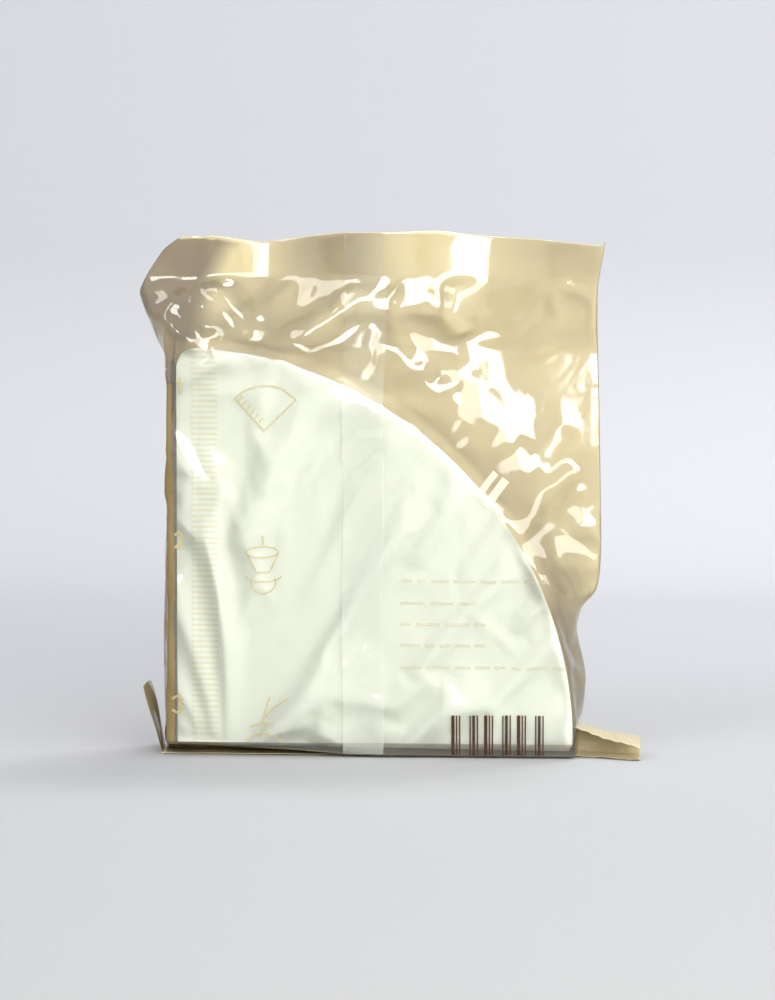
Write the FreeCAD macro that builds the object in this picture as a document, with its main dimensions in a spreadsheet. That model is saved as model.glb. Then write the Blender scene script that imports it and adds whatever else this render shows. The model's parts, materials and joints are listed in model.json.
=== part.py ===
"""A standing pack of cone coffee filters: a stack of folded paper filters sealed in one film bag.

The pack stands on the floor plane, Z up. Its clear side with the lap seam faces -Y, its printed side faces +Y.
The origin lies on the floor under the middle of the bag. All lengths are in millimetres, all angles in degrees.
"""

import FreeCAD
import Part

import math
import os

import Sketcher

SIZES = {
    # One filter: a quarter disc of two plies, folded along the bottom and crimped along the left edge.
    "filter_radius": 130.0,
    "ply": 0.2,
    "ply_gap": 0.06,
    "crimp_inset": 3.6,
    "crimp_width": 9.5,
    "crimp_press": 0.04,
    "corner_round": 6.0,
    # The stack: how many filters, how closely they lie, and how far the rear ones have slipped and leaned.
    "filter_count": 50,
    "filter_gap": 0.1,
    "stack_left": -67.6,
    "fan_tilt": 1.4,
    "fan_shift": 3.0,
    # The bag's film and the room between it and the paper.
    "film": 0.3,
    "clearance": 0.3,
    "arc_room_low": 1.4,
    "arc_room_high": 3.2,
    # The floor film climbs to the front edge, more at the left end of the bag than at the right.
    "lift_left": 4.4,
    "lift_right": 1.2,
    "lift_room": 8.0,
    "fin_root": 4.0,
    # The empty top of the bag: from the stack to the top seal, then the seal itself.
    "neck_room": 10.0,
    "head_room": 21.0,
    "top_seal": 14.0,
    "curl_place": 8.0,
    # Where the film bulges most between the stack's left edge and its round one, as a share of the way.
    "bulge_place": 0.45,
    # The lap seam, a folded strip down the clear side.
    "seam_place": 60.3,
    "seam_width": 13.0,
    "seam_rise": 0.5,
    "seam_tuck": 0.1,
    # The bottom seal: a fin folded flat under the pack, with an ear at each end.
    "fin_depth": 14.0,
    "ear_right": 18.0,
    "ear_height": 10.0,
    "ear_lip": 6.0,
    "ear_swing": 6.0,
    "ear_left": 23.8,
    "ear_lean": 6.6,
    "ear_twist": 3.8,
}

# How far the bag stands out past the stack's left edge and past its right end, at each level of the outline.
OUTLINE = {
    "foot": (6.0, 4.4),
    "low": (6.4, 4.6),
    "belly": (6.6, 3.8),
    "pinch": (6.4, 1.4),
    "fold": (6.2, 8.8),
    "waist": (5.2, 9.4),
    "rise": (4.8, 9.0),
    "brow": (5.2, 8.4),
    "crown": (6.8, 8.2),
    "neck": (10.8, 8.0),
    "hem": (13.0, 8.2),
    "lip": (0.6, 10.4),
}

# Levels beside the stack, by the angle at which they cut the filters' round edge.
ARC_ANGLES = {"foot": 0, "low": 6, "belly": 13, "pinch": 19, "fold": 23, "waist": 40, "rise": 60, "brow": 75}
LOW_LEVELS = ("foot", "low", "belly", "pinch")

# How far the film stands off the stack at its bulge, in front and behind, at each level beside the stack.
BULGES = {
    "foot": (0.0, 0.0),
    "low": (0.8, 0.6),
    "belly": (1.6, 2.0),
    "pinch": (0.4, 3.0),
    "fold": (0.2, 3.4),
    "waist": (0.6, 0.4),
    "rise": (0.4, 0.4),
    "brow": (0.0, 0.0),
}

# Half the depth of the collapsed film: past the round edge beside the stack, and from left to right above it.
DEPTHS = {
    "foot": (9.0, 6.0),
    "low": (8.0, 5.5),
    "belly": (8.0, 5.0),
    "pinch": (9.0, 5.0),
    "fold": (6.2, 1.8),
    "waist": (4.4, 1.0),
    "rise": (2.8, 1.0),
    "brow": (5.3, 1.0),
    "crown": (14.3, 5.8, 1.0),
    "neck": (5.9, 6.7, 7.3, 4.8, 1.0),
}

# The waves of the limp film: how far its middle lies behind the stack's middle at seven places, left to right.
WAVES = {
    "rise": (0.0, 0.0, 0.0, 0.0, 2.4, 2.0, 1.5),
    "brow": (0.0, 0.0, 0.0, 0.0, 1.8, 2.6, 2.7),
    "crown": (1.0, 0.0, 0.0, 0.2, 0.2, 2.8, 3.0),
    "neck": (-5.0, -2.9, -1.6, 1.9, -2.0, 2.8, 2.0),
    "hem": (-8.0, -3.0, -1.0, 4.0, -3.0, 3.0, 1.0),
    "lip": (-7.0, -5.0, -1.5, 5.0, -4.0, 4.0, -1.0),
}

# The folds of the limp top, left to right, by the angle of the filters' round edge under each.
TOP_FOLDS = (83.6, 77, 60, 38)

# Lengths under this are nothing.
TOUCH = 1e-6

FOOT = "(sizes.lift_left + sizes.film + sizes.clearance)"
THICK = "(sizes.ply * 2 + sizes.ply_gap)"
PITCH = f"({THICK} + sizes.filter_gap)"
HALF = f"(sizes.filter_count * {PITCH} / 2)"
FULL = f"({HALF} + sizes.clearance + sizes.film)"
CORNER = "(sizes.stack_left - sizes.fan_shift - sizes.clearance - sizes.film)"
RIGHT = "(sizes.stack_left + sizes.filter_radius)"
CROWN = f"({FOOT} + sizes.filter_radius + sizes.clearance + sizes.film)"
HEM = f"({CROWN} + sizes.head_room)"
LEVEL_Z = {
    "crown": CROWN,
    "neck": f"({CROWN} + sizes.neck_room)",
    "hem": HEM,
    "lip": f"({HEM} + sizes.top_seal)",
}

doc = FreeCAD.newDocument("coffee_filter_pack")


def make_sheet():
    """The sheet of driving dimensions. Each cell holds one number and its alias."""
    cells = dict(SIZES)
    for level, (left, right) in OUTLINE.items():
        cells[f"{level}_left"] = left
        cells[f"{level}_right"] = right
    for level, waves in WAVES.items():
        for place, wave in enumerate(waves):
            cells[f"{level}_wave_{'abcdefg'[place]}"] = wave
    for level, bulges in BULGES.items():
        for side, bulge in zip(("front", "back"), bulges):
            cells[f"{level}_bulge_{side}"] = bulge
    for level, depths in DEPTHS.items():
        for place, depth in enumerate(depths):
            cells[f"{level}_depth_{'abcde'[place]}"] = depth
    sheet = doc.addObject("Spreadsheet::Sheet", "sizes")
    for row, (alias, value) in enumerate(cells.items(), start=1):
        sheet.set(f"A{row}", alias)
        sheet.set(f"B{row}", str(value))
        sheet.setAlias(f"B{row}", alias)
    doc.recompute()
    return sheet


sizes = make_sheet()


def value(expression):
    """The number that an expression over the sheet has now."""
    return float(sizes.evalExpression(expression))


def polygon(name, points):
    """A closed sketch whose corners' coordinates are bound to expressions over the sheet."""
    sketch = doc.addObject("Sketcher::SketchObject", name)
    corners = [FreeCAD.Vector(value(x), value(y), 0) for x, y in points]
    count = len(corners)
    for k in range(count):
        sketch.addGeometry(Part.LineSegment(corners[k], corners[(k + 1) % count]), False)
    for k in range(count):
        sketch.addConstraint(Sketcher.Constraint("Coincident", k, 2, (k + 1) % count, 1))
    for k in range(count):
        for axis, kind in enumerate(("DistanceX", "DistanceY")):
            made = sketch.addConstraint(Sketcher.Constraint(kind, -1, 1, k, 1, corners[k][axis]))
            label = f"corner_{k}_{'xy'[axis]}"
            sketch.renameConstraint(made, label)
            sketch.setExpression(f"Constraints.{label}", points[k][axis])
    return sketch


def level_height(level):
    if level in ARC_ANGLES:
        angle = ARC_ANGLES[level]
        return "0" if angle == 0 else f"({FOOT} + sizes.filter_radius * sin({angle}))"
    return LEVEL_Z[level]


def level_places(level):
    """The seven places across the bag at one level: left nose, five in between, right nose."""
    left = f"(sizes.stack_left - sizes.{level}_left)"
    right = f"({RIGHT} + sizes.{level}_right)"
    if level in ARC_ANGLES:
        room = "sizes.arc_room_low" if level in LOW_LEVELS else "sizes.arc_room_high"
        arc = f"(sizes.stack_left + sizes.filter_radius * cos({ARC_ANGLES[level]}) + {room})"
        bulge = f"({CORNER} + ({arc} - {CORNER}) * sizes.bulge_place)"
        past = [f"({arc} + ({right} - {arc}) * {share})" for share in (0.4, 0.8)]
        return [left, CORNER, bulge, arc] + past + [right]
    corner = CORNER if level == "crown" else "(sizes.stack_left + sizes.curl_place)"
    folds = [f"(sizes.stack_left + sizes.filter_radius * cos({angle}))" for angle in TOP_FOLDS]
    return [left, corner] + folds + [right]


def level_depths(level, side):
    """How far the film lies from its middle at the five places between the noses, on one side."""
    depths = [f"sizes.{level}_depth_{letter}" for letter in "abcde"[: len(DEPTHS.get(level, ()))]]
    if level in ARC_ANGLES:
        return [FULL, f"({FULL} + sizes.{level}_bulge_{side})", FULL] + depths
    if level == "crown":
        return [FULL, FULL] + depths
    return depths or ["sizes.film"] * 5


def level_section(kind, level, height, front="0", back="0", nose="0"):
    """One section of the film tube. front, back and nose shift its sides, outwards where positive."""
    places = level_places(level)
    waves = [f"sizes.{level}_wave_{letter}" for letter in "abcdefg"] if level in WAVES else ["0"] * 7
    fronts, backs = level_depths(level, "front"), level_depths(level, "back")
    ahead = [(places[k + 1], f"{waves[k + 1]} - {fronts[k]} - ({front})") for k in range(5)]
    behind = [(places[k + 1], f"{waves[k + 1]} + {backs[k]} + ({back})") for k in range(5)]
    left = (f"{places[0]} - ({nose})", waves[0])
    right = (f"{places[6]} + ({nose})", waves[6])
    sketch = polygon(f"{kind}_{level}", [left] + ahead + [right] + behind[::-1])
    sketch.setExpression("Placement.Base.z", height)
    return sketch


def tube(name, sections):
    """A ruled skin through level sections, as one solid."""
    loft = doc.addObject("Part::Loft", name)
    loft.Sections = sections
    loft.Solid = True
    loft.Ruled = True
    return loft


def across(sketch):
    """Turns a sketch into the YZ plane: its X runs along Y, and its Y along Z."""
    turned = FreeCAD.Rotation(FreeCAD.Vector(0, 1, 0), FreeCAD.Vector(0, 0, 1), FreeCAD.Vector(1, 0, 0), "ZXY")
    sketch.Placement = FreeCAD.Placement(FreeCAD.Vector(0, 0, 0), turned)
    return sketch


def prism(name, sketch, start, length):
    """A YZ sketch drawn out along X from start over length."""
    across(sketch)
    sketch.setExpression("Placement.Base.x", start)
    solid = doc.addObject("Part::Extrusion", name)
    solid.Base = sketch
    solid.DirMode = "Custom"
    solid.Dir = FreeCAD.Vector(1, 0, 0)
    solid.Solid = True
    solid.setExpression("LengthFwd", length)
    return solid


def joined(name, parts):
    fuse = doc.addObject("Part::MultiFuse", name)
    fuse.Shapes = parts
    return fuse


def less(name, base, tool):
    cut = doc.addObject("Part::Cut", name)
    cut.Base = base
    cut.Tool = tool
    return cut


def under_wedge(name, rise):
    """What lies under the front part of the floor film, which climbs from the fin's root to the front edge."""
    reach = f"({FULL} + sizes.seam_rise * 2)"
    ends = []
    for side, place, lift in (
        ("left", "sizes.stack_left - sizes.lift_room", "sizes.lift_left"),
        ("right", f"{RIGHT} + sizes.lift_room", "sizes.lift_right"),
    ):
        top = f"({rise} + {lift} * ({reach} + sizes.fin_root) / ({FULL} + sizes.fin_root))"
        points = [(f"-{reach}", "-1"), ("sizes.fin_root", "-1"), ("sizes.fin_root", rise), (f"-{reach}", top)]
        sketch = across(polygon(f"{name}_{side}", points))
        sketch.setExpression("Placement.Base.x", place)
        ends.append(sketch)
    return tube(name, ends)


def make_bottom_fin():
    """The bottom seal, two films thick, folded forward and flat on the floor."""
    front = "(sizes.fin_root - sizes.fin_depth)"
    points = [(front, "0"), ("sizes.fin_root", "0"), ("sizes.fin_root", "sizes.film * 2"), (front, "sizes.film * 2")]
    left = "sizes.stack_left - sizes.foot_left"
    length = "sizes.foot_left + sizes.filter_radius"
    return prism("bottom_fin", polygon("bottom_fin_section", points), left, length)


def make_right_ear():
    """The corner of the bag drawn out to the right: a flattened fold that is open to the front and swings forward."""
    wall = "sizes.film * 2"
    ends = []
    for name, height, place, swing in (
        ("ear_root", "sizes.ear_height", RIGHT, "0"),
        ("ear_tip", "sizes.ear_lip", f"({RIGHT} + sizes.foot_right + sizes.ear_right)", "sizes.ear_swing"),
    ):
        back = f"(sizes.fin_root - {swing})"
        front = f"({back} - sizes.fin_depth)"
        points = [
            (front, "0"),
            (back, "0"),
            (back, height),
            (front, height),
            (front, f"{height} - {wall}"),
            (f"{back} - {wall}", f"{height} - {wall}"),
            (f"{back} - {wall}", wall),
            (front, wall),
        ]
        sketch = across(polygon(name, points))
        sketch.setExpression("Placement.Base.x", place)
        ends.append(sketch)
    return tube("right_ear", ends)


def make_left_ear():
    """The fin's left end, bent up beside the bag and a little twisted."""
    front = "(sizes.fin_root - sizes.fin_depth)"
    back = "sizes.fin_root"
    wall = "sizes.film * 2"
    root = "(sizes.stack_left - sizes.foot_left)"
    tip = f"({root} - sizes.ear_lean)"
    ends = []
    for name, ahead, behind, height in (
        ("left_ear_root", root, root, "0"),
        ("left_ear_tip", tip, f"({tip} + sizes.ear_twist)", "sizes.ear_left"),
    ):
        points = [(ahead, front), (f"{ahead} + {wall}", front), (f"{behind} + {wall}", back), (behind, back)]
        sketch = polygon(name, points)
        sketch.setExpression("Placement.Base.z", height)
        ends.append(sketch)
    return tube("left_ear", ends)


def make_seam_strip(proud):
    """The lap seam: the part of a slightly proud skin that lies over the seam's width."""
    strip = doc.addObject("Part::Box", "seam_width_box")
    strip.setExpression("Placement.Base.x", "sizes.stack_left + sizes.seam_place - sizes.seam_width / 2")
    strip.setExpression("Placement.Base.y", f"-{FULL} * 2")
    strip.setExpression("Length", "sizes.seam_width")
    strip.setExpression("Width", f"{FULL} * 4")
    strip.setExpression("Height", LEVEL_Z["lip"])
    seam = doc.addObject("Part::Common", "seam_strip")
    seam.Base = proud
    seam.Tool = strip
    return seam


def make_bag():
    """The bag: one film tube closed by a seal at each end, hollow where the stack stands."""
    levels = list(OUTLINE)
    skin = tube("skin", [level_section("skin", level, level_height(level)) for level in levels])
    proud = tube(
        "proud_skin",
        [level_section("proud", level, level_height(level), "sizes.seam_rise", "-sizes.seam_tuck") for level in levels],
    )
    thinner, shorter = "-sizes.film", "-2 * sizes.film"
    heights = {level: level_height(level) for level in levels[:-2]}
    heights["foot"] = "sizes.film"
    inner = [level_section("inside", level, height, thinner, thinner, shorter) for level, height in heights.items()]
    shell = less("trimmed_skin", joined("seamed_skin", [skin, make_seam_strip(proud)]), under_wedge("floor_wedge", "0"))
    whole = joined("sealed_skin", [shell, make_bottom_fin(), make_right_ear(), make_left_ear()])
    inside = less("inside", tube("inside_tube", inner), under_wedge("inside_wedge", "sizes.film"))
    bag = less("bag", whole, inside)
    bag.Label = "bag"
    return bag


def origin_plane(body, role):
    return next(feature for feature in body.Origin.OriginFeatures if feature.Role == role)


def pocket(body, name, points, start, depth):
    """A flat pocket in the filter, from start behind its front face over depth, with a four-cornered outline."""
    sketch = polygon(f"{name}_outline", points)
    body.addObject(sketch)
    sketch.AttachmentSupport = [(origin_plane(body, "XZ_Plane"), "")]
    sketch.MapMode = "FlatFace"
    sketch.setExpression("AttachmentOffset.Base.z", f"-({start})")
    doc.recompute()
    cut = body.newObject("PartDesign::Pocket", name)
    cut.Profile = sketch
    cut.Type = "Length"
    cut.Reversed = False
    cut.setExpression("Length", depth)
    doc.recompute()
    return cut


def top_left_edge(shape):
    """The name of the highest of the edges that run through the filter's thickness."""
    through = {}
    for k, edge in enumerate(shape.Edges, start=1):
        if edge.BoundBox.XLength + edge.BoundBox.ZLength < TOUCH:
            through[edge.CenterOfMass.z] = f"Edge{k}"
    return through[max(through)]


def make_filter():
    """One filter, flat, with its corner between crimp and fold at the origin and its front face on Y = 0."""
    body = doc.addObject("PartDesign::Body", "paper_filter")
    sketch = body.newObject("Sketcher::SketchObject", "quarter_disc")
    sketch.AttachmentSupport = [(origin_plane(body, "XZ_Plane"), "")]
    sketch.MapMode = "FlatFace"
    radius = value("sizes.filter_radius")
    corner, right, top = FreeCAD.Vector(0, 0, 0), FreeCAD.Vector(radius, 0, 0), FreeCAD.Vector(0, radius, 0)
    circle = Part.Circle(corner, FreeCAD.Vector(0, 0, 1), radius)
    sketch.addGeometry(Part.LineSegment(corner, right), False)
    sketch.addGeometry(Part.ArcOfCircle(circle, 0, math.pi / 2), False)
    sketch.addGeometry(Part.LineSegment(top, corner), False)
    for constraint in (
        Sketcher.Constraint("Coincident", 0, 1, -1, 1),
        Sketcher.Constraint("Coincident", 1, 3, -1, 1),
        Sketcher.Constraint("Coincident", 0, 2, 1, 1),
        Sketcher.Constraint("Coincident", 1, 2, 2, 1),
        Sketcher.Constraint("Coincident", 2, 2, 0, 1),
        Sketcher.Constraint("Horizontal", 0),
        Sketcher.Constraint("Vertical", 2),
    ):
        sketch.addConstraint(constraint)
    made = sketch.addConstraint(Sketcher.Constraint("Radius", 1, radius))
    sketch.renameConstraint(made, "radius")
    sketch.setExpression("Constraints.radius", "sizes.filter_radius")

    pad = body.newObject("PartDesign::Pad", "two_plies")
    pad.Profile = sketch
    pad.Reversed = True
    pad.setExpression("Length", THICK)
    doc.recompute()
    rounded = body.newObject("PartDesign::Fillet", "rounded_corner")
    rounded.Base = (pad, [top_left_edge(pad.Shape)])
    rounded.setExpression("Radius", "sizes.corner_round")
    doc.recompute()

    crimp_right = "(sizes.crimp_inset + sizes.crimp_width)"
    past = "(sizes.filter_radius + sizes.crimp_width)"
    slit = [(crimp_right, "sizes.ply"), (past, "sizes.ply"), (past, past), (crimp_right, past)]
    pocket(body, "open_pocket", slit, "sizes.ply", "sizes.ply_gap")
    top_edge = "(sizes.filter_radius - sizes.corner_round)"
    band = [
        ("sizes.crimp_inset", "sizes.crimp_inset"),
        (crimp_right, "sizes.crimp_inset"),
        (crimp_right, top_edge),
        ("sizes.crimp_inset", top_edge),
    ]
    pocket(body, "crimp_front", band, "0", "sizes.crimp_press")
    return body


def place_filter(piece, number):
    """Seats one filter on the floor film. The further back it stands, the more it has slipped left and leaned right."""
    share = f"((sin(90 * {number} / sizes.filter_count) + sin(137 * {number}) * 0.1) / 1.1)"
    tilt = f"(sizes.fan_tilt * {share})"
    front = f"({number} * {PITCH} - {HALF})"
    climb = f"max(0; (sizes.fin_root - {front}) / (sizes.fin_root + {FULL}))"
    drop = f"(sizes.filter_radius * sin({tilt}))"
    seat = f"max(sizes.lift_left * {climb}; sizes.lift_right * {climb} + {drop})"
    piece.setExpression("Placement.Rotation.Angle", tilt)
    piece.Placement.Rotation.Axis = FreeCAD.Vector(0, 1, 0)
    piece.setExpression("Placement.Base.x", f"sizes.stack_left - sizes.fan_shift * {share}")
    piece.setExpression("Placement.Base.y", front)
    piece.setExpression("Placement.Base.z", f"{seat} + sizes.film + sizes.clearance")


def make_stack():
    """The filters, each a piece of its own: the first is the model, and the rest are links to it."""
    first = make_filter()
    pieces = [first]
    for number in range(1, int(value("sizes.filter_count"))):
        link = doc.addObject("App::Link", f"filter_link_{number + 1:02d}")
        link.LinkedObject = first
        link.LinkTransform = False
        pieces.append(link)
    for number, piece in enumerate(pieces):
        piece.Label = f"filter_{number + 1:02d}"
        place_filter(piece, number)
    return pieces


def check_state():
    for obj in doc.Objects:
        bad = [state for state in obj.State if state in ("Invalid", "Error")]
        if bad:
            raise RuntimeError(f"{obj.Name} is {bad}")


def write(pieces):
    os.makedirs("parts", exist_ok=True)
    for piece in pieces:
        shape = Part.getShape(piece)
        if shape.isNull() or not shape.isValid():
            raise RuntimeError(f"{piece.Label} has no valid shape")
        shape.exportStep(os.path.join("parts", f"{piece.Label}.step"))
        print(piece.Label, len(shape.Solids), round(shape.Volume, 2))


nodes = [make_bag()] + make_stack()
doc.recompute()
check_state()
write(nodes)
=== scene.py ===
import json
import math

import bmesh
import bpy
import numpy as np
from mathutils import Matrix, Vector
from mathutils.bvhtree import BVHTree

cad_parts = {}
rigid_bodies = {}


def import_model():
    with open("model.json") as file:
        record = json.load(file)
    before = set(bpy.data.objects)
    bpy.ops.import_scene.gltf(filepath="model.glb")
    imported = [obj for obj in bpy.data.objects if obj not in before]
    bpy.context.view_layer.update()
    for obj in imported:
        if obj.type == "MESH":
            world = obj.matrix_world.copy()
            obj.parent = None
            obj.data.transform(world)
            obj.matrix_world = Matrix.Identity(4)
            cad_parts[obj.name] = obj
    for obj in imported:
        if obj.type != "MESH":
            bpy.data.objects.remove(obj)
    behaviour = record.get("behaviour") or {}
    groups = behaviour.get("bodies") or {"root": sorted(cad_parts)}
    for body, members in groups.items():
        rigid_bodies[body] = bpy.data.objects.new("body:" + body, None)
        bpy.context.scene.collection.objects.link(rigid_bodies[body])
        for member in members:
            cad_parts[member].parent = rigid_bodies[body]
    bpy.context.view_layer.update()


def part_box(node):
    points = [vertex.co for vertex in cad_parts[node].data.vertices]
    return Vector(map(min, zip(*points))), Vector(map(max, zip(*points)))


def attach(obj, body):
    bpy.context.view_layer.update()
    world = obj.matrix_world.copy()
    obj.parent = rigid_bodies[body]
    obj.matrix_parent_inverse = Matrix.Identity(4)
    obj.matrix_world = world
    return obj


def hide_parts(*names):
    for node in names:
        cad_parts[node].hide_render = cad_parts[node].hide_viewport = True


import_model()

# ---------------------------------------------------------------------------------------------------------------
# The front filter. Two plies of off-white crepe paper, cut to a quarter disc: folded along the bottom, pressed
# together by a crimp of small ribs along the left edge, and open along the round edge.

MM = 0.001
FILTER_RADIUS = 130 * MM
PLY = 0.2 * MM
PLY_PITCH = 0.26 * MM
CORNER_ROUND = 6 * MM
RIB_PITCH = 1.8 * MM
RIB_RISE = 0.22 * MM
RIBS_FROM, RIB_EDGE = 3 * MM, 0.5 * MM
CRIMP_COLUMNS = ((4.7 * MM, 6.3 * MM), (7.1 * MM, 13.4 * MM))
CREPE_RISE = 0.03 * MM


def linear(red, green, blue):
    """A colour as the eye reads it, 0 to 255, in the linear values that a shader takes."""
    levels = [((c / 255 + 0.055) / 1.055) ** 2.4 if c > 10 else c / 3294.6 for c in (red, green, blue)]
    return (*levels, 1.0)


def only(piece):
    """Selects this piece alone and makes it active."""
    bpy.ops.object.select_all(action="DESELECT")
    piece.select_set(True)
    bpy.context.view_layer.objects.active = piece


def apply_modifiers(piece):
    only(piece)
    for modifier in list(piece.modifiers):
        bpy.ops.object.modifier_apply(modifier=modifier.name)


def new_material(name):
    """A material with its node tree, its links and its one Principled shader."""
    material = bpy.data.materials.new(name)
    material.use_nodes = True
    tree = material.node_tree
    return material, tree, tree.nodes["Principled BSDF"]


def two_tone(tree, mask, pale, deep):
    """A colour between deep and pale, as the mask says."""
    tint = tree.nodes.new("ShaderNodeMix")
    tint.data_type = "RGBA"
    tint.inputs["A"].default_value = deep
    tint.inputs["B"].default_value = pale
    tree.links.new(mask, tint.inputs["Factor"])
    return tint.outputs["Result"]


def bumped(tree, height, strength, distance):
    """The surface's normal, bent by this height."""
    bump = tree.nodes.new("ShaderNodeBump")
    bump.inputs["Strength"].default_value = strength
    bump.inputs["Distance"].default_value = distance
    tree.links.new(height, bump.inputs["Height"])
    return bump.outputs["Normal"]


def own_place(tree):
    """The x, y and z of each place on the piece."""
    place = tree.nodes.new("ShaderNodeTexCoord")
    apart = tree.nodes.new("ShaderNodeSeparateXYZ")
    tree.links.new(place.outputs["Object"], apart.inputs["Vector"])
    return apart.outputs["X"], apart.outputs["Y"], apart.outputs["Z"]


def thicken(piece, thickness, offset=0.0):
    thick = piece.modifiers.new("thickness", "SOLIDIFY")
    thick.thickness = thickness
    thick.offset = offset


def refine(piece):
    fine = piece.modifiers.new("fine", "SUBSURF")
    fine.levels = fine.render_levels = 1


def filter_height(x):
    """How high the quarter disc stands at this distance from its crimped edge."""
    height = math.sqrt(max(FILTER_RADIUS**2 - x**2, 0))
    if x < CORNER_ROUND:
        height -= CORNER_ROUND - math.sqrt(CORNER_ROUND**2 - (CORNER_ROUND - x) ** 2)
    return height


def crimp(x, z):
    """How far the ribs push the paper forward here."""
    for left, right in CRIMP_COLUMNS:
        if left <= x <= right and RIBS_FROM < z < FILTER_RADIUS - CORNER_ROUND:
            edge = min(1, (x - left) / RIB_EDGE, (right - x) / RIB_EDGE)
            return RIB_RISE * edge * (0.5 + 0.5 * math.cos(2 * math.pi * z / RIB_PITCH))
    return 0.0


def filter_ply(name, x0, y0, z0):
    """One ply, its front face at y0 and its crimped bottom corner at (x0, z0)."""
    rows = 4 * round(FILTER_RADIUS / RIB_PITCH)
    # Columns in millimetres, close together where the crimp's columns begin and end, then wider apart.
    near = [0, 1.5, 3, 4.69, 4.71, 5.2, 5.8, 6.3, 6.31, 7.09, 7.11, 7.6]
    near += [9, 10.2, 11.5, 12.9, 13.39, 13.41]
    far = [FILTER_RADIUS * math.sin(math.pi / 2 * k / 40) for k in range(3, 41)]
    columns = [x * MM for x in near] + [x for x in far if x > 14 * MM]
    bpy.ops.object.select_all(action="DESELECT")
    bpy.ops.mesh.primitive_grid_add(x_subdivisions=len(columns) - 1, y_subdivisions=rows, size=1)
    ply = bpy.context.object
    ply.name = name
    across = len(columns)
    for number, vertex in enumerate(ply.data.vertices):
        x = columns[number % across]
        z = filter_height(x) * (number // across) / rows
        crepe = math.sin(x * 900 + 3 * math.sin(z * 60)) * math.sin(z * 260 + x * 90)
        vertex.co = (x0 + x, y0 - crimp(x, z) - CREPE_RISE * crepe, z0 + z)
    only(ply)
    bpy.ops.object.mode_set(mode="EDIT")
    bpy.ops.mesh.select_all(action="SELECT")
    bpy.ops.mesh.remove_doubles(threshold=0.01 * MM)
    bpy.ops.mesh.dissolve_degenerate(threshold=0.005 * MM)
    bpy.ops.object.mode_set(mode="OBJECT")
    thicken(ply, PLY, -1)
    apply_modifiers(ply)
    bpy.ops.object.shade_smooth_by_angle(angle=math.radians(50))
    return ply


def paper_fibres():
    """Fibre clouds and fine crepe lines of filter paper, as a shade and a height."""
    group = bpy.data.node_groups.new("paper_fibres", "ShaderNodeTree")
    for label in ("Shade", "Height"):
        group.interface.new_socket(name=label, in_out="OUTPUT", socket_type="NodeSocketFloat")
    nodes, links = group.nodes, group.links
    out = nodes.new("NodeGroupOutput")
    place = nodes.new("ShaderNodeTexCoord")
    cloud = nodes.new("ShaderNodeTexNoise")
    cloud.inputs["Scale"].default_value = 260
    cloud.inputs["Detail"].default_value = 6
    cloud.inputs["Roughness"].default_value = 0.7
    links.new(place.outputs["Object"], cloud.inputs["Vector"])
    stretch = nodes.new("ShaderNodeMapping")
    stretch.inputs["Scale"].default_value = (2600, 900, 300)
    links.new(place.outputs["Object"], stretch.inputs["Vector"])
    crepe = nodes.new("ShaderNodeTexNoise")
    crepe.inputs["Scale"].default_value = 1.0
    crepe.inputs["Detail"].default_value = 3
    links.new(stretch.outputs["Vector"], crepe.inputs["Vector"])
    total = nodes.new("ShaderNodeMath")
    total.operation = "ADD"
    links.new(cloud.outputs["Fac"], total.inputs[0])
    links.new(crepe.outputs["Fac"], total.inputs[1])
    links.new(cloud.outputs["Fac"], out.inputs["Shade"])
    links.new(total.outputs["Value"], out.inputs["Height"])
    return group


def paper_material(name, pale, deep):
    material, tree, shader = new_material(name)
    fibres = tree.nodes.new("ShaderNodeGroup")
    fibres.node_tree = PAPER_FIBRES
    tree.links.new(two_tone(tree, fibres.outputs["Shade"], pale, deep), shader.inputs["Base Color"])
    tree.links.new(bumped(tree, fibres.outputs["Height"], 0.35, 0.06 * MM), shader.inputs["Normal"])
    shader.inputs["Roughness"].default_value = 0.85
    shader.inputs["Specular IOR Level"].default_value = 0.3
    return material


PAPER_FIBRES = paper_fibres()
paper = paper_material("filter_paper", linear(248, 251, 242), linear(242, 245, 233))


def paint_rib_shade(material, left, right, rib_shade_tone):
    """Painted shade: the paper is coloured darker in stripes between the crimp's ribs, standing in for the shade
    of their relief.
    """
    tree = material.node_tree
    shader = tree.nodes["Principled BSDF"]
    plain = shader.inputs["Base Color"].links[0].from_socket
    x, _, z = own_place(tree)
    turn = tree.nodes.new("ShaderNodeMath")
    turn.operation = "MULTIPLY"
    turn.inputs[1].default_value = 2 * math.pi / RIB_PITCH
    tree.links.new(z, turn.inputs[0])
    ribs = tree.nodes.new("ShaderNodeMath")
    ribs.operation = "SINE"
    tree.links.new(turn.outputs["Value"], ribs.inputs[0])
    strength = ribs.outputs["Value"]
    for limit, operation in ((left, "GREATER_THAN"), (right, "LESS_THAN")):
        test = tree.nodes.new("ShaderNodeMath")
        test.operation = operation
        test.inputs[1].default_value = limit
        tree.links.new(x, test.inputs[0])
        both = tree.nodes.new("ShaderNodeMath")
        both.operation = "MULTIPLY"
        tree.links.new(strength, both.inputs[0])
        tree.links.new(test.outputs["Value"], both.inputs[1])
        strength = both.outputs["Value"]
    shaded_ribs = tree.nodes.new("ShaderNodeMix")
    shaded_ribs.data_type = "RGBA"
    shaded_ribs.inputs["B"].default_value = rib_shade_tone
    tree.links.new(strength, shaded_ribs.inputs["Factor"])
    tree.links.new(plain, shaded_ribs.inputs["A"])
    tree.links.new(shaded_ribs.outputs["Result"], shader.inputs["Base Color"])


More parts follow.
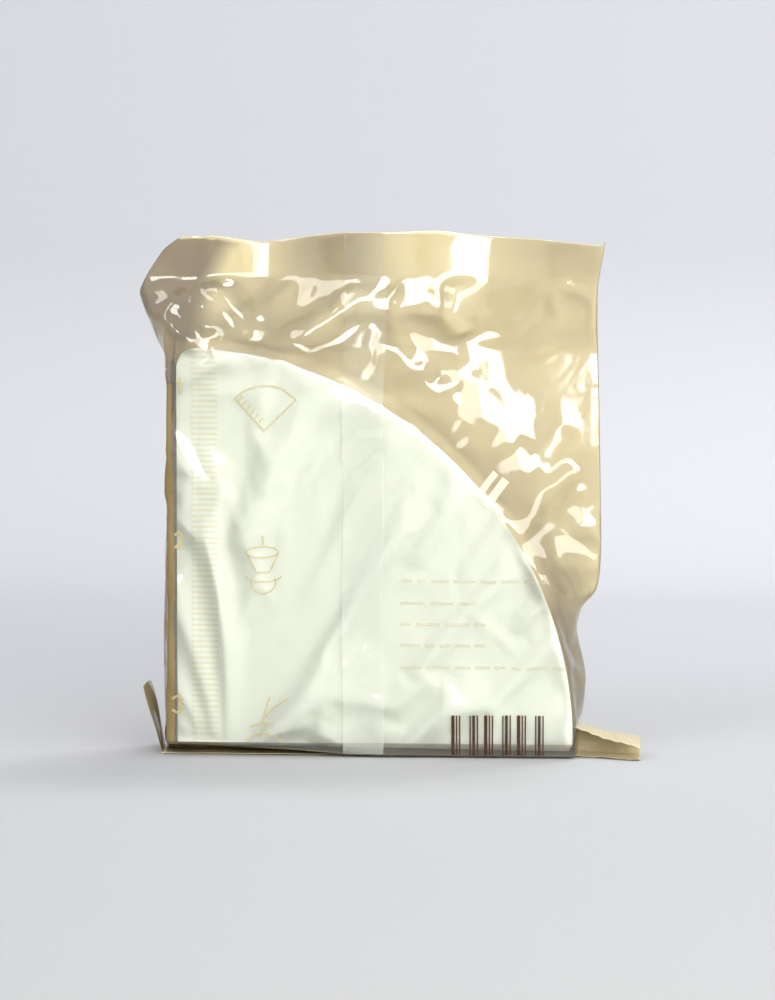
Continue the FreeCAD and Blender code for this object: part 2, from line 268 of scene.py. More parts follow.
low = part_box("filter_01")[0]
plies = [filter_ply(f"front_filter_ply_{k}", low.x, low.y + PLY_PITCH * k, low.z) for k in (0, 1)]
only(plies[0])
plies[1].select_set(True)
bpy.ops.object.join()
front_filter = plies[0]
front_filter.name = "front_filter"
front_filter.data.materials.clear()
front_filter.data.materials.append(paper)
# The front paper gets painted shade between its crimp's ribs, in this darker tone.
paint_rib_shade(paper, low.x + CRIMP_COLUMNS[0][0], low.x + CRIMP_COLUMNS[1][1], linear(236, 233, 208))
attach(front_filter, "root")
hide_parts("filter_01")

# ---------------------------------------------------------------------------------------------------------------
# The other forty-nine filters stand behind the first, a little fanned. They are the same folded paper, given a
# darker, warmer colour as painted shade of the stack, and only their cut edges and narrow margins show past the
# front one.

# Painted shade: the stack's paper is a darker, warmer copy of the front filter's paper.
shaded_stack_paper = paper_material("shaded_stack_paper", linear(236, 233, 215), linear(214, 208, 184))
FILTERS = 50
for number in range(2, FILTERS + 1):
    filter_node = bpy.data.objects[f"filter_{number:02d}"]
    for slot in filter_node.material_slots:
        slot.material = shaded_stack_paper

# ---------------------------------------------------------------------------------------------------------------
# The bag: a tube of thin film, clear on the side with the lap seam and printed beige on the other. It is pillowed
# tightly round the stack, limp and creased above it, and pressed flat where the top seal welds it shut.

SHEET = 100.0            # millimetres to a unit of the cloth's own small world
RADIUS, STACK_LEFT, STACK_FOOT = 130.0, -67.6, 5.0
STACK_HALF, FILM_HALF = 14.0, 15.0
HEM, LIP, TUBE_LENGTH, SEAL = 157.0, 171.0, 190.0, 14.0
ACROSS, UP = 84, 95      # columns of points across one side of the tube, and rows up it
RING = 2 * ACROSS
SECTION_STEPS = 300
FRONT_CORNER = -71.2     # where the left flank turns into the front
EDGE_SLACK, TOP_CORNER = 0.8, 8.0        # how far the full depth reaches past the stack's round edge and corner
FLANK_BLUNT, EDGE_BLUNT, TOP_BLUNT = 0.6, 1.15, 1.1
THIN = 0.15              # half the depth where the two films lie flat together
LIMP_FROM = 100.0        # from here up the film's middle leaves the stack's middle
FRONT_TUCK, BACK_TUCK = 18.5, 10.5       # how much film lies under the pack from either side
TUCK_Y, TUCK_TOP = 4.0, 12.0
FRONT_REST, BACK_REST = 0.65, 0.95
LEFT_NOSE = [
    (4, -73.0), (19, -73.5), (38.6, -73.7), (85, -72.4), (105, -70.9), (123, -70.3), (131, -72.3),
    (137.6, -75.4), (145.5, -78.4), (152.8, -81.0), (160, -77.5), (167.6, -72.5), (171, -67.0),
]
RIGHT_NOSE = [
    (0, 64.0), (10, 63.8), (13, 65.5), (24, 66.9), (30.8, 66.2), (39, 63.8), (47.8, 63.6), (50.2, 67.5),
    (53, 70), (58, 71.4), (69, 72), (88, 71.6), (118, 71), (140, 70.3), (154, 70.3), (168.6, 72.6), (171, 72.8),
]
LIMP_WAVES = {
    134: [(-73, 0), (-55, 0), (-20, 2), (10, 1), (40, 3), (71, 3)],
    146: [(-79, -5), (-60, -3), (-38, 3), (-3, -1), (35, 3), (71, 2)],
    157: [(-80, -8), (-60, -3), (-38, 4), (-3, -3), (35, 3), (71, 1)],
    171: [(-68, -8), (-60, -5.5), (-38, 5.5), (-3, -4.5), (35, 4.5), (73, -1)],
}
FRONT_FOOT = [(-73, 4.4), (-58, 4.4), (-41, 3.2), (-28, 2.5), (-13, 1.2), (0, 0.6), (66, 0.4)]
LIP_EDGE = [
    (-75, 168.3), (-72.6, 169.2), (-67.6, 170.6), (-59.2, 171.4), (-58.2, 168.8), (-57.2, 171.4), (-52.8, 170.6),
    (-40.6, 168.6), (-28, 170.4), (-13, 172.3), (18, 172.7), (31, 170.9), (51, 169.8), (72, 167.8),
]


def along(points, place):
    """A value read off a list of places and values, with straight runs."""
    return float(np.interp(place, [p[0] for p in points], [p[1] for p in points]))


def eased(points, place):
    """The same, eased in and out at each place."""
    for (start, low), (end, high) in zip(points, points[1:]):
        if place <= end:
            share = min(max((place - start) / (end - start), 0), 1)
            return low + (high - low) * (1 - math.cos(math.pi * share)) / 2
    return points[-1][1]


def limp_wave(x, z):
    """How far behind the stack's middle the middle of the limp top lies."""
    heights = sorted(LIMP_WAVES)
    if z <= LIMP_FROM:
        return 0.0
    if z <= heights[0]:
        return eased(LIMP_WAVES[heights[0]], x) * (z - LIMP_FROM) / (heights[0] - LIMP_FROM)
    for low, high in zip(heights, heights[1:]):
        if z <= high:
            share = (z - low) / (high - low)
            return eased(LIMP_WAVES[low], x) * (1 - share) + eased(LIMP_WAVES[high], x) * share
    return eased(LIMP_WAVES[heights[-1]], x)


def tube_section(z):
    """Half the tube's depth across its width at one height."""
    left, right = along(LEFT_NOSE, z), along(RIGHT_NOSE, z)
    places = np.linspace(left, right, SECTION_STEPS)
    if z >= HEM:
        return places, np.full(SECTION_STEPS, THIN)
    rise = z - STACK_FOOT
    if abs(rise) < RADIUS:
        arc = STACK_LEFT + math.sqrt(RADIUS**2 - max(rise, 0) ** 2) + EDGE_SLACK
        full = FILM_HALF
    else:
        arc = STACK_LEFT + TOP_CORNER
        full = FILM_HALF * max(0, 1 - (rise - RADIUS) / (HEM - STACK_FOOT - RADIUS)) + 2 * THIN
    halves = np.zeros(SECTION_STEPS)
    for k, x in enumerate(places):
        if x < FRONT_CORNER:
            half = full * (max(x - left, 0) / max(FRONT_CORNER - left, 0.001)) ** FLANK_BLUNT
        elif x <= arc:
            half = full
        else:
            half = full * max(1 - (x - arc) / max(right - arc, 0.001), 0) ** EDGE_BLUNT
        beside = max(x - STACK_LEFT, 0)
        if rise > 0 and x > STACK_LEFT and math.hypot(beside, rise) > RADIUS:
            under = math.sqrt(max(RADIUS**2 - beside**2, 0)) + STACK_FOOT
            share = (z - under) / max(HEM - under, 1)
            half = min(half, FILM_HALF * max(1 - share, 0) ** TOP_BLUNT + THIN)
        halves[k] = max(half, THIN)
    return places, halves


def film_tube():
    """The tube as it leaves the sealing machine, smooth, and which of its points are held while it settles."""
    points = np.zeros((UP + 1, RING, 3))
    held = np.zeros((UP + 1, RING))
    for side in (-1, 1):
        under = FRONT_TUCK if side < 0 else BACK_TUCK
        least = FRONT_REST if side < 0 else BACK_REST
        for row in range(UP + 1):
            paid = TUBE_LENGTH * row / UP
            if paid >= TUBE_LENGTH - SEAL:
                z = LIP - (TUBE_LENGTH - paid)
            elif paid > under:
                z = HEM * (paid - under) / (TUBE_LENGTH - SEAL - under)
            else:
                z = 0.0
            places, halves = tube_section(z)
            middle = np.array([limp_wave(x, z) for x in places])
            path = np.stack([places, middle + side * halves], 1)
            path = np.vstack([[places[0], middle[0]], path, [places[-1], middle[-1]]])
            run = np.concatenate([[0], np.cumsum(np.hypot(*np.diff(path, axis=0).T))])
            for k in range(ACROSS + 1):
                if side > 0 and k in (0, ACROSS):
                    continue
                x = np.interp(run[-1] * k / ACROSS, run, path[:, 0])
                y = np.interp(run[-1] * k / ACROSS, run, path[:, 1])
                foot = along(FRONT_FOOT, x) if side < 0 else 0.5
                height = z
                if paid <= under:
                    share = paid / under
                    y = TUCK_Y + (y - TUCK_Y) * share
                    height = max(foot * share, least)
                elif z < TUCK_TOP:
                    base = max(foot, least)
                    height = base + (TUCK_TOP - base) * z / TUCK_TOP
                column = k if side < 0 else (RING - k) % RING
                points[row, column] = (x, y, height)
                if paid >= TUBE_LENGTH - SEAL - 0.1 or paid <= under + 0.5 or k in (0, ACROSS):
                    held[row, column] = 1
    return points, held


def grid_faces(rows, columns, wrap=False):
    """Quads over a grid of points laid out row by row."""
    faces = []
    for row in range(rows - 1):
        for column in range(columns if wrap else columns - 1):
            after = (column + 1) % columns
            faces.append((row * columns + column, row * columns + after,
                          (row + 1) * columns + after, (row + 1) * columns + column))
    return faces


def mesh_piece(name, points, faces):
    mesh = bpy.data.meshes.new(name)
    mesh.from_pydata([tuple(p) for p in points], [], faces)
    mesh.update()
    piece = bpy.data.objects.new(name, mesh)
    bpy.context.scene.collection.objects.link(piece)
    return piece


def stack_core():
    """A plain quarter disc in the stack's place, for the film to settle on."""
    turns, rings = 28, 16
    points, faces = [], []
    for y in (-STACK_HALF, STACK_HALF):
        for turn in range(turns + 1):
            for ring in range(rings + 1):
                angle = math.pi / 2 * turn / turns
                share = ring / rings
                x = STACK_LEFT + RADIUS * ring / rings * math.cos(angle) - 3 * (1 - share * math.sin(angle))
                z = STACK_FOOT + RADIUS * ring / rings * math.sin(angle) - 1
                points.append((x / SHEET, y / SHEET, z / SHEET))
    size = (turns + 1) * (rings + 1)

    def at(side, turn, ring):
        return side * size + (turn if ring else 0) * (rings + 1) + ring

    for turn in range(turns):
        for ring in range(rings):
            corners = [(turn, ring), (turn, ring + 1), (turn + 1, ring + 1)]
            if ring:
                corners.append((turn + 1, ring))
            faces.append(tuple(at(0, *c) for c in corners)[::-1])
            faces.append(tuple(at(1, *c) for c in corners))
    rim = [(0, ring) for ring in range(rings + 1)] + [(turn, rings) for turn in range(1, turns + 1)]
    rim += [(turns, ring) for ring in range(rings - 1, 0, -1)]
    for here, there in zip(rim, rim[1:] + rim[:1]):
        faces.append((at(0, *here), at(0, *there), at(1, *there), at(1, *here)))
    core = mesh_piece("stack_core", points, faces)
    work = bmesh.new()
    work.from_mesh(core.data)
    bmesh.ops.delete(work, geom=[v for v in work.verts if not v.link_faces], context="VERTS")
    bmesh.ops.recalc_face_normals(work, faces=work.faces)
    work.to_mesh(core.data)
    work.free()
    return core


def limp_middle(points):
    """The middle of the limp top at every point."""
    return np.vectorize(limp_wave)(points[..., 0], points[..., 2])


# Creases pinched into the clear side, each from one place to another, with its rise and its reach to either side.
FOLDS = [
    ((-2, 153), (-30, 137), 3.5, 7),
    ((0, 152), (-8, 124), 2.5, 6),
    ((2, 150), (26, 146), 4.0, 8),
    ((24, 158), (27, 138), 4.5, 7),
    ((2, 146), (24, 124), 4.0, 7),
    ((26, 138), (60, 80), 3.5, 12),
    ((-58, 160), (-38, 138), 4.5, 6),
    ((-70, 152), (-54, 140), 4.0, 5),
    ((-74, 146), (-60, 136), 3.0, 4),
    ((-58, 104), (-36, 52), 1.4, 8),
    ((-8, 118), (-40, 96), 1.2, 9),
    ((50, 64), (66, 42), 3.0, 6),
]
# Slow waves all over the film, their lengths in millimetres, and lower about the calm place out to its radius.
FILM_SEED, WAVES, WAVE_LENGTHS, WAVE_RISE = 12, 26, (18, 46), 0.35
CALM_X, CALM_Z, CALM_RADIUS = 52, 100, 45
TURN = 6.28              # about a full turn


def uneven_film(points, held):
    """The smooth tube with its film lifted in slow waves, and in creases on the clear side."""
    draw = np.random.RandomState(FILM_SEED)
    x, y, z = points[..., 0], points[..., 1], points[..., 2]
    lift = np.zeros(points.shape[:2])
    for _ in range(WAVES):
        angle, length, phase = draw.uniform(0, math.pi), draw.uniform(*WAVE_LENGTHS), draw.uniform(0, TURN)
        slope = (x * math.cos(angle) + z * math.sin(angle)) / length * TURN
        lift += np.sin(slope + phase + np.sign(y)) / WAVES**0.5
    calm = np.hypot(x - CALM_X, z - CALM_Z) / CALM_RADIUS
    lift = np.abs(lift) * WAVE_RISE * np.clip(calm, 0.1, 1)
    clear_side = y < limp_middle(points)
    for (x1, z1), (x2, z2), rise, reach in FOLDS:
        run = (x2 - x1) ** 2 + (z2 - z1) ** 2
        share = np.clip(((x - x1) * (x2 - x1) + (z - z1) * (z2 - z1)) / run, 0, 1)
        away = np.hypot(x - x1 - share * (x2 - x1), z - z1 - share * (z2 - z1))
        fade = np.clip(np.minimum(share, 1 - share) * 5 + 0.25, 0, 1)
        lift = lift + rise * np.clip(1 - away / reach, 0, 1) * fade * clear_side
    lift = lift * (held < 0.5)
    start = points.copy()
    start[:, 1:ACROSS, 1] -= lift[:, 1:ACROSS]
    start[:, ACROSS + 1:, 1] += lift[:, ACROSS + 1:]
    return start


FILM_SLACK, FILM_PRESSURE, FILM_STIFFNESS, SETTLE_FRAMES = 0.013, -0.3, 0.5, 25


def settle(start, held):
    """Lets the film settle on the stack as slack, stiff cloth, and gives back where its points come to rest."""
    film = mesh_piece("settling_film", start.reshape(-1, 3) / SHEET, grid_faces(UP + 1, RING, True))
    group = film.vertex_groups.new(name="held")
    group.add([int(k) for k in np.flatnonzero(held.ravel() > 0.5)], 1.0, "REPLACE")
    cloth = film.modifiers.new("cloth", "CLOTH")
    settings = cloth.settings
    settings.quality = 8
    settings.mass = 0.2
    settings.tension_stiffness = settings.compression_stiffness = 60
    settings.shear_stiffness = 30
    settings.bending_stiffness = FILM_STIFFNESS
    settings.tension_damping = settings.compression_damping = settings.shear_damping = 5
    settings.bending_damping = 0.2
    settings.time_scale = 2
    settings.air_damping = 2
    settings.vertex_group_mass = "held"
    settings.shrink_min = -FILM_SLACK
    settings.effector_weights.gravity = 0
    settings.use_pressure = True
    settings.uniform_pressure_force = FILM_PRESSURE
    cloth.collision_settings.collision_quality = 3
    cloth.collision_settings.distance_min = 0.0035
    core = stack_core()
    core.modifiers.new("collision", "COLLISION")
    core.collision.thickness_outer = 0.004
    core.collision.thickness_inner = 0.1
    core.collision.cloth_friction = 2
    cloth.point_cache.frame_start, cloth.point_cache.frame_end = 1, SETTLE_FRAMES
    for moment in range(1, SETTLE_FRAMES + 1):
        bpy.context.scene.frame_set(moment)
    apply_modifiers(film)
    rest = np.zeros(len(film.data.vertices) * 3)
    film.data.vertices.foreach_get("co", rest)
    for scrap in (film, core):
        bpy.data.objects.remove(scrap)
    bpy.context.scene.frame_set(1)
    return rest.reshape(start.shape) * SHEET


# How far the film keeps from the stack's middle, from its edges, and from the film's other side.
FRONT_CLEAR, BACK_CLEAR, LEFT_CLEAR, EDGE_CLEAR, FILM_GAP = -14.35, 14.45, -3.6, 1.2, 0.25


def keep_clear(points, held):
    """Keeps the film off the paper and its two sides off each other, and cuts the lip to its uneven edge."""
    for row in range(UP + 1):
        for column in range(RING):
            x, y, z = points[row, column]
            front = column <= ACROSS
            if column in (0, ACROSS):
                continue
            beside, rise = x - STACK_LEFT, z - STACK_FOOT
            over = math.hypot(max(beside, 0), rise) < RADIUS + EDGE_CLEAR
            if held[row, column] < 0.5:
                if over and beside > LEFT_CLEAR and rise > 0.2:
                    y = min(y, FRONT_CLEAR) if front else max(y, BACK_CLEAR)
                else:
                    middle = limp_wave(x, z)
                    y = min(y, middle - FILM_GAP) if front else max(y, middle + FILM_GAP)
            if z > HEM:
                share = (z - HEM) / (LIP - HEM)
                z += (along(LIP_EDGE, x) - LIP) * share
            points[row, column] = (x, y, z)
    return points


tube_points, held = film_tube()
film_points = settle(uneven_film(tube_points, held), held)
film_points = keep_clear(film_points, held)

# The seals' ends are closed between the tube's two sides.
ends = []
for row in (0, UP):
    for column in range(ACROSS):
        left, right = row * RING + column, row * RING + column + 1
        left_back, right_back = row * RING + (RING - column) % RING, row * RING + (RING - column - 1) % RING
        corners = [left_back, right_back, right, left] if row else [left, right, right_back, left_back]
        ends.append(tuple(dict.fromkeys(corners)))
bag = mesh_piece("film_bag", film_points.reshape(-1, 3) * MM, grid_faces(UP + 1, RING, True) + ends)
wrap = bag.data.uv_layers.new(name="wrap")
for face in bag.data.polygons:
    columns = [bag.data.loops[loop].vertex_index % RING for loop in face.loop_indices]
    for loop, column in zip(face.loop_indices, columns):
        if column == 0 and max(columns) > ACROSS:
            column = RING
        wrap.data[loop].uv = (column / RING, bag.data.loops[loop].vertex_index // RING / UP)
work = bmesh.new()
work.from_mesh(bag.data)
bmesh.ops.recalc_face_normals(work, faces=work.faces)
work.to_mesh(bag.data)
work.free()


def film_crinkle():
    """The fine crackle of thin film, as a height and a small change of gloss."""
    group = bpy.data.node_groups.new("film_crinkle", "ShaderNodeTree")
    for label in ("Height", "Dulling"):
        group.interface.new_socket(name=label, in_out="OUTPUT", socket_type="NodeSocketFloat")
    nodes, links = group.nodes, group.links
    out = nodes.new("NodeGroupOutput")
    place = nodes.new("ShaderNodeTexCoord")
    broad = nodes.new("ShaderNodeTexNoise")
    broad.inputs["Scale"].default_value = 55
    broad.inputs["Detail"].default_value = 2
    broad.inputs["Distortion"].default_value = 1.2
    links.new(place.outputs["Object"], broad.inputs["Vector"])
    cells = nodes.new("ShaderNodeTexVoronoi")
    cells.feature = "F1"
    cells.inputs["Scale"].default_value = 70
    warped = nodes.new("ShaderNodeVectorMath")
    warped.operation = "MULTIPLY_ADD"
    warped.inputs[1].default_value = (0.012, 0.012, 0.012)
    links.new(broad.outputs["Color"], warped.inputs[0])
    links.new(place.outputs["Object"], warped.inputs[2])
    links.new(warped.outputs["Vector"], cells.inputs["Vector"])
    total = nodes.new("ShaderNodeMath")
    total.operation = "MULTIPLY_ADD"
    total.inputs[1].default_value = 0.35
    links.new(cells.outputs["Distance"], total.inputs[0])
    links.new(broad.outputs["Fac"], total.inputs[2])
    grain = nodes.new("ShaderNodeTexNoise")
    grain.inputs["Scale"].default_value = 900
    links.new(place.outputs["Object"], grain.inputs["Vector"])
    dull = nodes.new("ShaderNodeMapRange")
    dull.inputs["To Min"].default_value = 0.05
    dull.inputs["To Max"].default_value = 0.13
    links.new(grain.outputs["Fac"], dull.inputs["Value"])
    links.new(total.outputs["Value"], out.inputs["Height"])
    links.new(dull.outputs["Result"], out.inputs["Dulling"])
    return group


FILM_CRINKLE = film_crinkle()


def clear_film(name, tint, body, crinkle):
    """Clear film: what lies behind shows through, more gloss the flatter it is seen, and a faint milky body."""
    material, tree, shader = new_material(name)
    crackle = tree.nodes.new("ShaderNodeGroup")
    crackle.node_tree = FILM_CRINKLE
    normal = bumped(tree, crackle.outputs["Height"], crinkle, 1.0 * MM)
    tree.links.new(normal, shader.inputs["Normal"])
    tree.links.new(crackle.outputs["Dulling"], shader.inputs["Roughness"])
    shader.inputs["Base Color"].default_value = tint
    shader.inputs["Specular IOR Level"].default_value = 1.0
    shader.inputs["IOR"].default_value = 1.6
    see = tree.nodes.new("ShaderNodeBsdfTransparent")
    see.inputs["Color"].default_value = (0.99, 0.99, 0.975, 1)
    gloss = tree.nodes.new("ShaderNodeBsdfGlossy")
    gloss.inputs["Color"].default_value = (1, 1, 1, 1)
    tree.links.new(crackle.outputs["Dulling"], gloss.inputs["Roughness"])
    tree.links.new(normal, gloss.inputs["Normal"])
    edge = tree.nodes.new("ShaderNodeFresnel")
    edge.inputs["IOR"].default_value = 1.75
    tree.links.new(normal, edge.inputs["Normal"])
    milky = tree.nodes.new("ShaderNodeMixShader")
    milky.name = "body_share"
    milky.inputs["Fac"].default_value = body
    tree.links.new(see.outputs["BSDF"], milky.inputs[1])
    tree.links.new(shader.outputs["BSDF"], milky.inputs[2])
    shine = tree.nodes.new("ShaderNodeMixShader")
    tree.links.new(edge.outputs["Fac"], shine.inputs["Fac"])
    tree.links.new(milky.outputs["Shader"], shine.inputs[1])
    tree.links.new(gloss.outputs["BSDF"], shine.inputs[2])
    tree.links.new(shine.outputs["Shader"], tree.nodes["Material Output"].inputs["Surface"])
    return material


def paint_flank_shade(tree, shader, beige, depth):
    """Painted shade down the left side: the beige is darkened to brown and made less glossy, by how far round the
    tube it lies from the left fold.
    """
    place = tree.nodes.new("ShaderNodeUVMap")
    place.uv_map = "wrap"
    apart = tree.nodes.new("ShaderNodeSeparateXYZ")
    tree.links.new(place.outputs["UV"], apart.inputs["Vector"])
    from_fold = tree.nodes.new("ShaderNodeMath")
    from_fold.operation = "PINGPONG"
    from_fold.inputs[1].default_value = 0.5
    tree.links.new(apart.outputs["X"], from_fold.inputs[0])
    flank = tree.nodes.new("ShaderNodeMapRange")
    flank.inputs["From Min"].default_value = 0.085
    flank.inputs["From Max"].default_value = 0.06
    flank.inputs["To Max"].default_value = depth
    tree.links.new(from_fold.outputs["Value"], flank.inputs["Value"])
    matt = tree.nodes.new("ShaderNodeMapRange")
    matt.inputs["To Min"].default_value = 0.5
    matt.inputs["To Max"].default_value = 0.06
    tree.links.new(flank.outputs["Result"], matt.inputs["Value"])
    tree.links.new(matt.outputs["Result"], shader.inputs["Specular IOR Level"])
    # The painted shade's colour, an olive brown.
    shaded_flank_colour = tree.nodes.new("ShaderNodeMix")
    shaded_flank_colour.data_type = "RGBA"
    shaded_flank_colour.inputs["B"].default_value = linear(124, 101, 58)
    tree.links.new(flank.outputs["Result"], shaded_flank_colour.inputs["Factor"])
    tree.links.new(beige, shaded_flank_colour.inputs["A"])
    return shaded_flank_colour.outputs["Result"]


def printed_film(name, pale, deep, flank_shade_depth=0.0):
    """Film printed beige all over, glossy on both faces, the ink a little uneven, with painted shade down the
    left side where a depth is given for it.
    """
    material, tree, shader = new_material(name)
    crackle = tree.nodes.new("ShaderNodeGroup")
    crackle.node_tree = FILM_CRINKLE
    tree.links.new(bumped(tree, crackle.outputs["Height"], 0.4, 1.0 * MM), shader.inputs["Normal"])
    colour = two_tone(tree, crackle.outputs["Height"], pale, deep)
    if flank_shade_depth:
        colour = paint_flank_shade(tree, shader, colour, flank_shade_depth)
    tree.links.new(colour, shader.inputs["Base Color"])
    tree.links.new(crackle.outputs["Dulling"], shader.inputs["Roughness"])
    shader.inputs["IOR"].default_value = 1.5
    see = tree.nodes.new("ShaderNodeBsdfTransparent")
    see.inputs["Color"].default_value = (0.82, 0.66, 0.42, 1)
    cover = tree.nodes.new("ShaderNodeMixShader")
    cover.inputs["Fac"].default_value = 0.82
    tree.links.new(see.outputs["BSDF"], cover.inputs[1])
    tree.links.new(shader.outputs["BSDF"], cover.inputs[2])
    tree.links.new(cover.outputs["Shader"], tree.nodes["Material Output"].inputs["Surface"])
    return material


clear = clear_film("clear_film", linear(251, 252, 247), 0.05, 0.14)
# The main printed film carries painted shade down its left side, to this depth.
printed = printed_film("printed_film", linear(232, 220, 176), linear(222, 208, 160), 0.85)
ear_film = printed_film("ear_film", linear(218, 208, 172), linear(200, 188, 148))
bag.data.materials.append(clear)
bag.data.materials.append(printed)
# The print wraps round the left side to just past the front corner, where it fades out towards the top, and it
# covers the floor of the bag.
SIDE_PRINT, SIDE_TOP, SIDE_FADE, FLOOR_ROWS = 9, 78, 8, 9
for face in bag.data.polygons:
    columns = [bag.data.loops[k].vertex_index % RING for k in face.loop_indices]
    lowest = min(bag.data.loops[k].vertex_index // RING for k in face.loop_indices)
    side = SIDE_PRINT * min(max((SIDE_TOP - lowest) / SIDE_FADE, 0), 1)
    front = all(side <= column <= ACROSS for column in columns) and lowest >= FLOOR_ROWS
    face.material_index = 0 if front else 1
refine(bag)
apply_modifiers(bag)
bpy.ops.object.shade_smooth()
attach(bag, "root")
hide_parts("bag")

# ---------------------------------------------------------------------------------------------------------------
# The lap seam: where the film's two long edges overlap and are welded, a doubled strip down the clear side. Its
# left edge stands a little off the bag.

SEAM_LEFT, SEAM_RIGHT, SEAM_FOOT = -13.1, 0.2, 1.3
SEAM_STEPS, SEAM_ROWS = 8, 150
SEAM_OFF, SEAM_EDGE = 0.28, 0.45         # how far it stands off the bag, and how much further at its left edge
# The weld is milky all along, and more so over the paper, up to this height, easing off above it: the extra milk
# is painted sheen.
MILKY_SHEEN_TO, MILKY_SHEEN_FADE = 116 * MM, 12 * MM


def film_surface(piece):
    work = bmesh.new()
    work.from_mesh(piece.data)
    tree = BVHTree.FromBMesh(work)
    work.free()
    return tree


BAG_SURFACE = film_surface(bag)


def on_film(x, z, off):
    """The point on the film's clear side straight in front of (x, z), off millimetres proud of it."""
    hit = BAG_SURFACE.ray_cast(Vector((x * MM, -0.1, z * MM)), Vector((0, 1, 0)))[0]
    y = hit.y if hit else -FILM_HALF * MM
    return (x * MM, y - off * MM, z * MM)


seam_points = []
for row in range(SEAM_ROWS + 1):
    for step in range(SEAM_STEPS + 1):
        share = step / SEAM_STEPS
        x = SEAM_LEFT + (SEAM_RIGHT - SEAM_LEFT) * share + 0.25 * math.sin(row * 0.11)
        z = SEAM_FOOT + (along(LIP_EDGE, x) - SEAM_FOOT - 0.3) * row / SEAM_ROWS
        curl = 0.6 + 0.4 * math.sin(row * 0.31 + math.sin(row * 0.13) * 2)
        seam_points.append(on_film(x, z, SEAM_OFF + SEAM_EDGE * max(1 - share * 4, 0) * curl))
seam = mesh_piece("lap_seam", seam_points, grid_faces(SEAM_ROWS + 1, SEAM_STEPS + 1))
only(seam)
bpy.ops.object.shade_smooth()
seam_film = clear_film("seam_film", linear(250, 254, 242), 0.06, 0.2)
tree = seam_film.node_tree
# The weld's milky body, raised below the paper's height as painted sheen.
milk_and_sheen = tree.nodes.new("ShaderNodeMapRange")
milk_and_sheen.inputs["From Min"].default_value = MILKY_SHEEN_TO + MILKY_SHEEN_FADE
milk_and_sheen.inputs["From Max"].default_value = MILKY_SHEEN_TO
milk_and_sheen.inputs["To Min"].default_value = 0.06
milk_and_sheen.inputs["To Max"].default_value = 0.26
tree.links.new(own_place(tree)[2], milk_and_sheen.inputs["Value"])
tree.links.new(milk_and_sheen.outputs["Result"], tree.nodes["body_share"].inputs["Fac"])
seam.data.materials.append(seam_film)
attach(seam, "root")
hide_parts("bag")

# ---------------------------------------------------------------------------------------------------------------
# The bottom seal: two films welded flat, folded forward under the pack, with fine weld lines across it.

FIN_BACK, FIN_FRONT = 4.0, -10.0
FIN_LEFT, FIN_LENGTH = -73.6, 136.6
FIN_HEIGHT, WELD_RISE, FIN_NOTCH = 0.34, 0.08, 0.35
fin_points, fin_rows, fin_columns = [], 22, 120
for row in range(fin_rows + 1):
    for column in range(fin_columns + 1):
        x = FIN_LEFT + FIN_LENGTH * column / fin_columns
        y = FIN_BACK + (FIN_FRONT - FIN_BACK + FIN_NOTCH * (column % 2)) * row / fin_rows
        z = FIN_HEIGHT + WELD_RISE * (-1) ** row + 0.05 * math.sin(x * 0.31)
        fin_points.append((x * MM, y * MM, z * MM))
fin = mesh_piece("bottom_seal", fin_points, grid_faces(fin_rows + 1, fin_columns + 1))
thicken(fin, 0.2 * MM)
apply_modifiers(fin)
bpy.ops.object.shade_smooth_by_angle(angle=math.radians(40))
fin.data.materials.append(ear_film)
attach(fin, "root")
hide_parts("bag")

# ---------------------------------------------------------------------------------------------------------------
# The right ear: the bag's bottom corner drawn out sideways into a flattened fold, open to the front.

EAR_ROOT, EAR_TIP = 60.5, 84.6
EAR_HEIGHT, EAR_DROP = 11.2, 5.2
EAR_DEPTH, EAR_LOW = 14, 0.35
LOWER, UPPER = 0.4, 0.6  # the shares of the fold's width where its lower lip ends and its upper lip begins
ear_points, ear_rows, ear_columns = [], 36, 28
for row in range(ear_rows + 1):
    share = row / ear_rows
    x = EAR_ROOT + (EAR_TIP - EAR_ROOT) * share
    height = EAR_HEIGHT - EAR_DROP * share**0.8 + 0.25 * math.sin(share * 9)
    back = 4 - 6 * share
    front = back - EAR_DEPTH + 1.0 * math.sin(share * 5)
    for column in range(ear_columns + 1):
        turn = column / ear_columns
        if turn < LOWER:
            y = front + (back - 2 - front) * (turn / LOWER)
            z = EAR_LOW + 0.25 * (1 - turn / LOWER) * math.sin(share * 7 + 1) ** 2
        elif turn < UPPER:
            angle = math.pi * (turn - LOWER) / (UPPER - LOWER)
            y = back - 2 + 2 * math.sin(angle)
            z = EAR_LOW + (height - EAR_LOW) * (1 - math.cos(angle)) / 2
        else:
            outward = (turn - UPPER) / (1 - UPPER)
            y = back - 2 + (front - back + 2 + 1.5) * outward
            z = height - (0.8 + 1.2 * share) * outward**2
        z += 0.15 * math.sin(x * 1.9 + y * 0.7) * (0.3 if turn < LOWER else 1)
        ear_points.append((x * MM, y * MM, max(z, 0.12) * MM))
right_ear = mesh_piece("right_ear", ear_points, grid_faces(ear_rows + 1, ear_columns + 1))
thicken(right_ear, 0.18 * MM)
refine(right_ear)
apply_modifiers(right_ear)
bpy.ops.object.shade_smooth()
right_ear.data.materials.append(ear_film)
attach(right_ear, "root")
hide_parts("bag")

# ---------------------------------------------------------------------------------------------------------------
# The left ear: the end of the bottom seal, bent up beside the bag and a little twisted.

